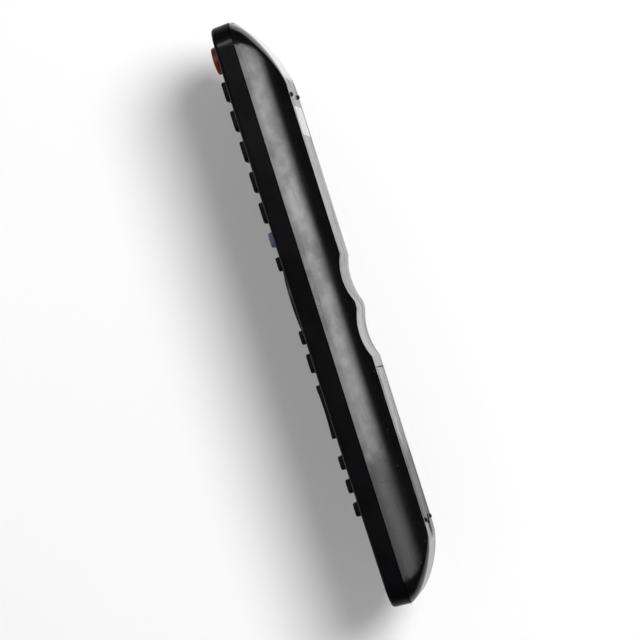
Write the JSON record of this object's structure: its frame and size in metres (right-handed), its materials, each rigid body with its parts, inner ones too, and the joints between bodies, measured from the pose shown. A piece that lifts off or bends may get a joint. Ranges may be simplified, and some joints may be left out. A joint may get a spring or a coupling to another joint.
{
  "type": "tv remote control",
  "caption": "Slim hand-held tv remote control with raised separate keys, a rocking direction ring, a boat-shaped back with two finger hollows and a hinged battery cover.",
  "frame": {"origin": "centre of the bounding box at the level of the feet, which stand on the table", "axes": "+Y towards the transmitting end, +Z out of the key face, +X to the right seen from the key face with the transmitting end away"},
  "size_m": [0.048, 0.2208, 0.024],
  "materials": {
    "case_top": "fine matte texture",
    "case_back": "satin, lightly rubbed",
    "cell_jacket": "gloss sleeve",
    "contact_nickel": "nickel plated",
    "board_laminate": "solder mask",
    "silicone_mat": "matte silicone",
    "emitter_resin": "clear tinted resin",
    "window_dark": "dark infrared-pass gloss",
    "chip_black": "moulded epoxy",
    "ceramic_amber": "dipped resin",
    "capacitor_sleeve": "shrunk sleeve",
    "foot_rubber": "smooth rubber",
    "ring_black": "satin",
    "key_black": "matte silicone",
    "key_power_red": "matte silicone",
    "key_red": "matte silicone",
    "key_green": "matte silicone",
    "key_yellow": "matte silicone",
    "key_blue": "matte silicone"
  },
  "bodies": {
    "housing": {"top_case": "case_top", "bottom_case": "case_back", "battery_left": "cell_jacket", "battery_right": "cell_jacket", "battery_springs": "contact_nickel", "battery_plates": "contact_nickel", "circuit_board": "board_laminate", "keypad_mat": "silicone_mat", "ir_led": "emitter_resin", "ir_window": "window_dark", "controller_chip": "chip_black", "resonator": "ceramic_amber", "capacitor": "capacitor_sleeve", "rest_feet": "foot_rubber"},
    "battery_cover": {"battery_cover": "case_back"},
    "nav_pad": {"nav_pad": "silicone_mat"},
    "nav_ring": {"nav_ring": "ring_black"},
    "volume_rocker": {"volume_rocker": "key_black"},
    "channel_rocker": {"channel_rocker": "key_black"},
    "power_key": {"power_key": "key_power_red"},
    "ok_key": {"ok_key": "key_black"},
    "blue_key": {"blue_key": "key_blue"},
    "number_key_5": {"number_key_5": "key_black"},
    "source_key": {"source_key": "key_black"},
    "upper_key_left": {"upper_key_left": "key_black"},
    "upper_key_middle": {"upper_key_middle": "key_black"},
    "upper_key_right": {"upper_key_right": "key_black"},
    "number_key_1": {"number_key_1": "key_black"},
    "number_key_2": {"number_key_2": "key_black"},
    "number_key_3": {"number_key_3": "key_black"},
    "number_key_4": {"number_key_4": "key_black"},
    "number_key_6": {"number_key_6": "key_black"},
    "number_key_7": {"number_key_7": "key_black"},
    "number_key_8": {"number_key_8": "key_black"},
    "number_key_9": {"number_key_9": "key_black"},
    "number_key_dash": {"number_key_dash": "key_black"},
    "number_key_0": {"number_key_0": "key_black"},
    "number_key_recall": {"number_key_recall": "key_black"},
    "red_key": {"red_key": "key_red"},
    "green_key": {"green_key": "key_green"},
    "yellow_key": {"yellow_key": "key_yellow"},
    "menu_side_key_left": {"menu_side_key_left": "key_black"},
    "menu_side_key_right": {"menu_side_key_right": "key_black"},
    "exit_side_key_left": {"exit_side_key_left": "key_black"},
    "exit_side_key_right": {"exit_side_key_right": "key_black"},
    "lower_key_left": {"lower_key_left": "key_black"},
    "lower_key_middle": {"lower_key_middle": "key_black"},
    "lower_key_right": {"lower_key_right": "key_black"},
    "mute_key": {"mute_key": "key_black"},
    "info_key": {"info_key": "key_black"},
    "play_key_1_left": {"play_key_1_left": "key_black"},
    "play_key_1_middle": {"play_key_1_middle": "key_black"},
    "play_key_1_right": {"play_key_1_right": "key_black"},
    "play_key_2_left": {"play_key_2_left": "key_black"},
    "play_key_2_middle": {"play_key_2_middle": "key_black"},
    "play_key_2_right": {"play_key_2_right": "key_black"},
    "play_key_3_left": {"play_key_3_left": "key_black"},
    "play_key_3_middle": {"play_key_3_middle": "key_black"},
    "play_key_3_right": {"play_key_3_right": "key_black"}
  },
  "joints": [
    {"name": "battery_cover_hinge", "type": "hinge", "parent": "housing", "child": "battery_cover", "pos_m": [0, -0.0261, 0.0017], "axis": [1, 0, 0], "range_deg": [0, 60]},
    {"name": "nav_left_right_tilt", "type": "hinge", "parent": "housing", "child": "nav_pad", "pos_m": [0, 0.0067, 0.0191], "axis": [0, 1, 0], "range_deg": [-2.5, 2.5], "stiffness_Nm_per_rad": 0.05},
    {"name": "nav_up_down_tilt", "type": "hinge", "parent": "nav_pad", "child": "nav_ring", "pos_m": [0, 0.0067, 0.0191], "axis": [1, 0, 0], "range_deg": [-2.5, 2.5], "stiffness_Nm_per_rad": 0.05},
    {"name": "volume_rocker_tilt", "type": "hinge", "parent": "housing", "child": "volume_rocker", "pos_m": [0.0132, -0.0353, 0.0191], "axis": [1, 0, 0], "range_deg": [-2.5, 2.5], "stiffness_Nm_per_rad": 0.05},
    {"name": "channel_rocker_tilt", "type": "hinge", "parent": "housing", "child": "channel_rocker", "pos_m": [-0.0132, -0.0353, 0.0191], "axis": [1, 0, 0], "range_deg": [-2.5, 2.5], "stiffness_Nm_per_rad": 0.05},
    {"name": "power_key_press", "type": "slide", "parent": "housing", "child": "power_key", "axis": [0, 0, -1], "range_m": [0, 0.0009], "stiffness_N_per_m": 600},
    {"name": "ok_key_press", "type": "slide", "parent": "housing", "child": "ok_key", "axis": [0, 0, -1], "range_m": [0, 0.0009], "stiffness_N_per_m": 600},
    {"name": "blue_key_press", "type": "slide", "parent": "housing", "child": "blue_key", "axis": [0, 0, -1], "range_m": [0, 0.0009], "stiffness_N_per_m": 600},
    {"name": "number_key_5_press", "type": "slide", "parent": "housing", "child": "number_key_5", "axis": [0, 0, -1], "range_m": [0, 0.0009], "stiffness_N_per_m": 600},
    {"name": "source_key_press", "type": "slide", "parent": "housing", "child": "source_key", "axis": [0, 0, -1], "range_m": [0, 0.0009], "stiffness_N_per_m": 600},
    {"name": "upper_key_left_press", "type": "slide", "parent": "housing", "child": "upper_key_left", "axis": [0, 0, -1], "range_m": [0, 0.0009], "stiffness_N_per_m": 600},
    {"name": "upper_key_middle_press", "type": "slide", "parent": "housing", "child": "upper_key_middle", "axis": [0, 0, -1], "range_m": [0, 0.0009], "stiffness_N_per_m": 600},
    {"name": "upper_key_right_press", "type": "slide", "parent": "housing", "child": "upper_key_right", "axis": [0, 0, -1], "range_m": [0, 0.0009], "stiffness_N_per_m": 600},
    {"name": "number_key_1_press", "type": "slide", "parent": "housing", "child": "number_key_1", "axis": [0, 0, -1], "range_m": [0, 0.0009], "stiffness_N_per_m": 600},
    {"name": "number_key_2_press", "type": "slide", "parent": "housing", "child": "number_key_2", "axis": [0, 0, -1], "range_m": [0, 0.0009], "stiffness_N_per_m": 600},
    {"name": "number_key_3_press", "type": "slide", "parent": "housing", "child": "number_key_3", "axis": [0, 0, -1], "range_m": [0, 0.0009], "stiffness_N_per_m": 600},
    {"name": "number_key_4_press", "type": "slide", "parent": "housing", "child": "number_key_4", "axis": [0, 0, -1], "range_m": [0, 0.0009], "stiffness_N_per_m": 600},
    {"name": "number_key_6_press", "type": "slide", "parent": "housing", "child": "number_key_6", "axis": [0, 0, -1], "range_m": [0, 0.0009], "stiffness_N_per_m": 600},
    {"name": "number_key_7_press", "type": "slide", "parent": "housing", "child": "number_key_7", "axis": [0, 0, -1], "range_m": [0, 0.0009], "stiffness_N_per_m": 600},
    {"name": "number_key_8_press", "type": "slide", "parent": "housing", "child": "number_key_8", "axis": [0, 0, -1], "range_m": [0, 0.0009], "stiffness_N_per_m": 600},
    {"name": "number_key_9_press", "type": "slide", "parent": "housing", "child": "number_key_9", "axis": [0, 0, -1], "range_m": [0, 0.0009], "stiffness_N_per_m": 600},
    {"name": "number_key_dash_press", "type": "slide", "parent": "housing", "child": "number_key_dash", "axis": [0, 0, -1], "range_m": [0, 0.0009], "stiffness_N_per_m": 600},
    {"name": "number_key_0_press", "type": "slide", "parent": "housing", "child": "number_key_0", "axis": [0, 0, -1], "range_m": [0, 0.0009], "stiffness_N_per_m": 600},
    {"name": "number_key_recall_press", "type": "slide", "parent": "housing", "child": "number_key_recall", "axis": [0, 0, -1], "range_m": [0, 0.0009], "stiffness_N_per_m": 600},
    {"name": "red_key_press", "type": "slide", "parent": "housing", "child": "red_key", "axis": [0, 0, -1], "range_m": [0, 0.0009], "stiffness_N_per_m": 600},
    {"name": "green_key_press", "type": "slide", "parent": "housing", "child": "green_key", "axis": [0, 0, -1], "range_m": [0, 0.0009], "stiffness_N_per_m": 600},
    {"name": "yellow_key_press", "type": "slide", "parent": "housing", "child": "yellow_key", "axis": [0, 0, -1], "range_m": [0, 0.0009], "stiffness_N_per_m": 600},
    {"name": "menu_side_key_left_press", "type": "slide", "parent": "housing", "child": "menu_side_key_left", "axis": [0, 0, -1], "range_m": [0, 0.0009], "stiffness_N_per_m": 600},
    {"name": "menu_side_key_right_press", "type": "slide", "parent": "housing", "child": "menu_side_key_right", "axis": [0, 0, -1], "range_m": [0, 0.0009], "stiffness_N_per_m": 600},
    {"name": "exit_side_key_left_press", "type": "slide", "parent": "housing", "child": "exit_side_key_left", "axis": [0, 0, -1], "range_m": [0, 0.0009], "stiffness_N_per_m": 600},
    {"name": "exit_side_key_right_press", "type": "slide", "parent": "housing", "child": "exit_side_key_right", "axis": [0, 0, -1], "range_m": [0, 0.0009], "stiffness_N_per_m": 600},
    {"name": "lower_key_left_press", "type": "slide", "parent": "housing", "child": "lower_key_left", "axis": [0, 0, -1], "range_m": [0, 0.0009], "stiffness_N_per_m": 600},
    {"name": "lower_key_middle_press", "type": "slide", "parent": "housing", "child": "lower_key_middle", "axis": [0, 0, -1], "range_m": [0, 0.0009], "stiffness_N_per_m": 600},
    {"name": "lower_key_right_press", "type": "slide", "parent": "housing", "child": "lower_key_right", "axis": [0, 0, -1], "range_m": [0, 0.0009], "stiffness_N_per_m": 600},
    {"name": "mute_key_press", "type": "slide", "parent": "housing", "child": "mute_key", "axis": [0, 0, -1], "range_m": [0, 0.0009], "stiffness_N_per_m": 600},
    {"name": "info_key_press", "type": "slide", "parent": "housing", "child": "info_key", "axis": [0, 0, -1], "range_m": [0, 0.0009], "stiffness_N_per_m": 600},
    {"name": "play_key_1_left_press", "type": "slide", "parent": "housing", "child": "play_key_1_left", "axis": [0, 0, -1], "range_m": [0, 0.0009], "stiffness_N_per_m": 600},
    {"name": "play_key_1_middle_press", "type": "slide", "parent": "housing", "child": "play_key_1_middle", "axis": [0, 0, -1], "range_m": [0, 0.0009], "stiffness_N_per_m": 600},
    {"name": "play_key_1_right_press", "type": "slide", "parent": "housing", "child": "play_key_1_right", "axis": [0, 0, -1], "range_m": [0, 0.0009], "stiffness_N_per_m": 600},
    {"name": "play_key_2_left_press", "type": "slide", "parent": "housing", "child": "play_key_2_left", "axis": [0, 0, -1], "range_m": [0, 0.0009], "stiffness_N_per_m": 600},
    {"name": "play_key_2_middle_press", "type": "slide", "parent": "housing", "child": "play_key_2_middle", "axis": [0, 0, -1], "range_m": [0, 0.0009], "stiffness_N_per_m": 600},
    {"name": "play_key_2_right_press", "type": "slide", "parent": "housing", "child": "play_key_2_right", "axis": [0, 0, -1], "range_m": [0, 0.0009], "stiffness_N_per_m": 600},
    {"name": "play_key_3_left_press", "type": "slide", "parent": "housing", "child": "play_key_3_left", "axis": [0, 0, -1], "range_m": [0, 0.0009], "stiffness_N_per_m": 600},
    {"name": "play_key_3_middle_press", "type": "slide", "parent": "housing", "child": "play_key_3_middle", "axis": [0, 0, -1], "range_m": [0, 0.0009], "stiffness_N_per_m": 600},
    {"name": "play_key_3_right_press", "type": "slide", "parent": "housing", "child": "play_key_3_right", "axis": [0, 0, -1], "range_m": [0, 0.0009], "stiffness_N_per_m": 600}
  ]
}
